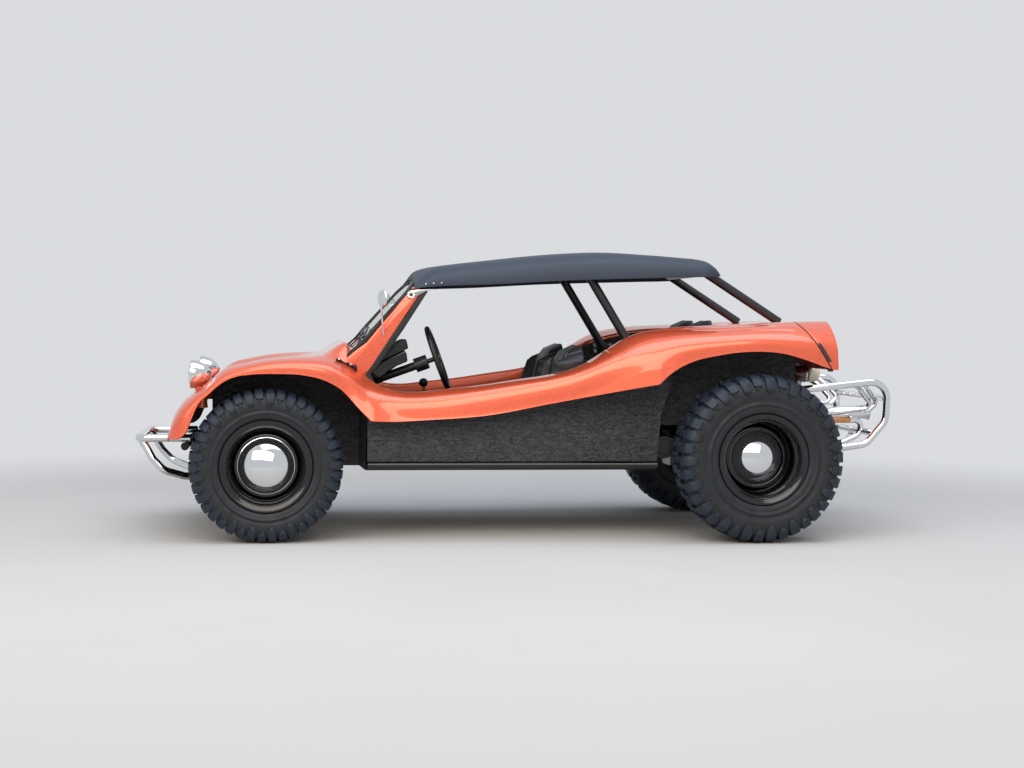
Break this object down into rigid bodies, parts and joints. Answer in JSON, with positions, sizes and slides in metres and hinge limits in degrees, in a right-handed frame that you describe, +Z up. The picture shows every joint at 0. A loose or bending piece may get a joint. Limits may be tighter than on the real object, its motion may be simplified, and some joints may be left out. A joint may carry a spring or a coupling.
{
  "type": "dune buggy",
  "caption": "Open four-seat dune buggy with a moulded tub body, hard roof on a tube cage, large off-road tyres, steered front wheels and an open rear engine.",
  "frame": {"origin": "middle of the whole buggy in plan, on the ground under the tyres", "axes": "+Z up, the front of the buggy points to -X, its left side to -Y"},
  "size_m": [3.845, 1.774, 1.434],
  "materials": {
    "body_paint": "metallic gloss",
    "side_texture": "textured matt",
    "chassis_black": "satin",
    "chrome": "polished",
    "tyre_rubber": "moulded",
    "rim_black": "gloss",
    "roof_skin": "satin",
    "seat_cover": "grained",
    "screen_glass": "clear",
    "alloy": "cast",
    "engine_iron": "cast",
    "shroud_paint": "satin",
    "red_lens": "clear gloss",
    "steel": "turned",
    "black_plastic": "moulded",
    "filter_cream": "semi-gloss"
  },
  "bodies": {
    "root": {"body_front": "body_paint", "body_side_left": "body_paint", "body_side_right": "body_paint", "body_rear": "body_paint", "tail_panel": "body_paint", "side_panel_left": "side_texture", "side_panel_right": "side_texture", "front_bulkhead": "side_texture", "rear_tub": "side_texture", "dashboard": "black_plastic", "floor_pan": "chassis_black", "sill_tubes": "chassis_black", "windscreen_frame": "body_paint", "windscreen_glass": "screen_glass", "roof": "roof_skin", "roll_cage": "chassis_black", "seat_rails": "steel", "front_seat_left": "seat_cover", "front_seat_right": "seat_cover", "rear_seat_left": "seat_cover", "rear_seat_right": "seat_cover", "gear_lever": "steel", "instrument_pod": "black_plastic", "fuel_tank": "chassis_black", "torsion_tube": "chassis_black", "half_shafts": "chassis_black", "gearbox": "alloy", "engine_block": "alloy", "fan_shroud": "shroud_paint", "air_cleaners": "filter_cream", "exhaust": "chrome", "front_bumper": "chrome", "rear_bumper": "chrome", "headlamps": "chrome", "tail_lamps": "red_lens", "mirrors": "chrome", "shock_absorbers": "shroud_paint", "front_axle_beam": "chassis_black", "front_arms": "chassis_black", "steering_column": "chassis_black"},
    "hood": {"hood_lid": "body_paint"},
    "knuckle_left": {"knuckle_left": "engine_iron"},
    "knuckle_right": {"knuckle_right": "engine_iron"},
    "tie_rods": {"tie_rods": "steel"},
    "steering_wheel": {"steering_wheel": "black_plastic"},
    "wheel_front_left": {"tyre_front_left": "tyre_rubber", "wheel_front_left": "rim_black", "hub_cap_front_left": "chrome"},
    "wheel_front_right": {"tyre_front_right": "tyre_rubber", "wheel_front_right": "rim_black", "hub_cap_front_right": "chrome"},
    "wheel_rear_left": {"tyre_rear_left": "tyre_rubber", "wheel_rear_left": "rim_black", "hub_cap_rear_left": "chrome"},
    "wheel_rear_right": {"tyre_rear_right": "tyre_rubber", "wheel_rear_right": "rim_black", "hub_cap_rear_right": "chrome"}
  },
  "joints": [
    {"name": "steer_left", "type": "hinge", "parent": "root", "child": "knuckle_left", "pos_m": [-1.272, -0.5, 0.37], "axis": [0, 0, 1], "range_deg": [-28, 28]},
    {"name": "steer_right", "type": "hinge", "parent": "root", "child": "knuckle_right", "pos_m": [-1.272, 0.5, 0.37], "axis": [0, 0, 1], "range_deg": [-28, 28]},
    {"name": "tie_rod_slide", "type": "slide", "parent": "root", "child": "tie_rods", "axis": [0, 1, 0], "range_m": [-0.0495, 0.0495]},
    {"name": "steering_wheel_turn", "type": "hinge", "parent": "root", "child": "steering_wheel", "pos_m": [-0.424, -0.35, 0.886], "axis": [0.9319, -0.1207, 0.3421], "range_deg": [-392.5, 392.5]},
    {"name": "hood_hinge", "type": "hinge", "parent": "root", "child": "hood", "pos_m": [-1.576, 0, 0.761], "axis": [0, -1, 0], "range_deg": [0, 60]},
    {"name": "spin_front_left", "type": "hinge", "parent": "knuckle_left", "child": "wheel_front_left", "pos_m": [-1.272, -0.609, 0.37], "axis": [0, 1, 0], "continuous": true},
    {"name": "spin_front_right", "type": "hinge", "parent": "knuckle_right", "child": "wheel_front_right", "pos_m": [-1.272, 0.609, 0.37], "axis": [0, 1, 0], "continuous": true},
    {"name": "spin_rear_left", "type": "hinge", "parent": "root", "child": "wheel_rear_left", "pos_m": [1.128, -0.737, 0.411], "axis": [0, 1, 0], "continuous": true},
    {"name": "spin_rear_right", "type": "hinge", "parent": "root", "child": "wheel_rear_right", "pos_m": [1.128, 0.737, 0.411], "axis": [0, 1, 0], "continuous": true}
  ],
  "couplings": [
    {"joint": "steer_right", "follows": "steer_left", "ratio": 1},
    {"joint": "tie_rod_slide", "follows": "steer_left", "m_per_rad": -0.1009},
    {"joint": "steering_wheel_turn", "follows": "steer_left", "ratio": 14}
  ]
}
